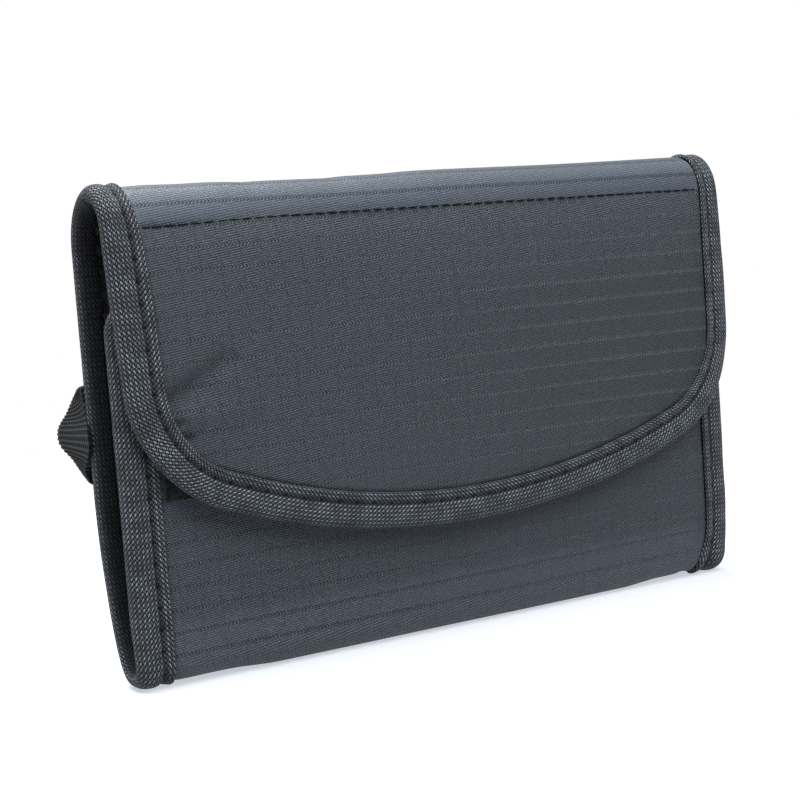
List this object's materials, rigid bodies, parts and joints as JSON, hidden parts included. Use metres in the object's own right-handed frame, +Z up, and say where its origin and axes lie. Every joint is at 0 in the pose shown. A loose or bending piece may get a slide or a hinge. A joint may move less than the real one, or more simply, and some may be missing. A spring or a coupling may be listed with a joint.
{
  "type": "battery case",
  "caption": "Soft folding case for spare camera batteries: a padded fabric wallet with bound edges, a rounded front flap, slack inner pockets and a webbing belt loop.",
  "frame": {"origin": "middle of the flat base that the closed case stands on", "axes": "+X across the width, -Y out of the flap and the front, +Z up"},
  "size_m": [0.1722, 0.0373, 0.112],
  "materials": {
    "ripstop": "woven ripstop nylon with a soft sheen",
    "foam": "thin closed-cell foam",
    "lining": "plain woven nylon",
    "binding": "woven edge-binding tape",
    "webbing": "ribbed grosgrain tape",
    "hook": "hook fastener",
    "pile": "looped pile fastener",
    "thread": "polyester thread",
    "pocket_cloth": "thin woven nylon",
    "elastic": "knitted elastic and narrow tape",
    "film": "clear soft film"
  },
  "bodies": {
    "back": {"back_shell": "ripstop", "back_foam": "foam", "back_lining": "lining", "back_binding_left": "binding", "back_binding_right": "binding", "bottom_fold_shell": "ripstop", "bottom_fold_lining": "lining", "bottom_fold_binding_left": "binding", "bottom_fold_binding_right": "binding", "belt_loop": "webbing", "belt_loop_bartack_low": "thread", "belt_loop_bartack_high": "thread", "battery_pocket_1": "pocket_cloth", "battery_pocket_2": "pocket_cloth", "battery_pocket_3": "pocket_cloth", "pocket_hem_1": "elastic", "pocket_hem_2": "elastic", "pocket_hem_3": "elastic", "pocket_seam_tape_1": "elastic", "pocket_seam_tape_2": "elastic", "pocket_foot_tape": "elastic"},
    "spine": {"spine_shell": "ripstop", "spine_lining": "lining", "spine_binding_left": "binding", "spine_binding_right": "binding"},
    "flap": {"flap_shell": "ripstop", "flap_foam": "foam", "flap_lining": "lining", "flap_binding": "binding", "flap_hook_strip": "hook", "crease_stitching": "thread"},
    "front": {"front_shell": "ripstop", "front_foam": "foam", "front_lining": "lining", "front_binding": "binding", "front_loop_strip": "pile", "card_pocket_panel": "pocket_cloth", "card_window_1": "film", "card_window_2": "film", "card_window_3": "film", "card_pocket_tape": "binding"}
  },
  "joints": [
    {"name": "spine_fold", "type": "hinge", "parent": "back", "child": "spine", "pos_m": [0, 0.0086, 0.098], "axis": [-1, 0, 0], "range_deg": [0, 110]},
    {"name": "flap_fold", "type": "hinge", "parent": "spine", "child": "flap", "pos_m": [0, -0.00992, 0.10099], "axis": [-1, 0, 0], "range_deg": [0, 110]},
    {"name": "front_fold", "type": "hinge", "parent": "back", "child": "front", "pos_m": [0, -0.0086, 0.0046], "axis": [1, 0, 0], "range_deg": [0, 55]}
  ],
  "couplings": [
    {"joint": "flap_fold", "follows": "spine_fold", "ratio": 1},
    {"joint": "front_fold", "follows": "spine_fold", "ratio": 0.5}
  ]
}
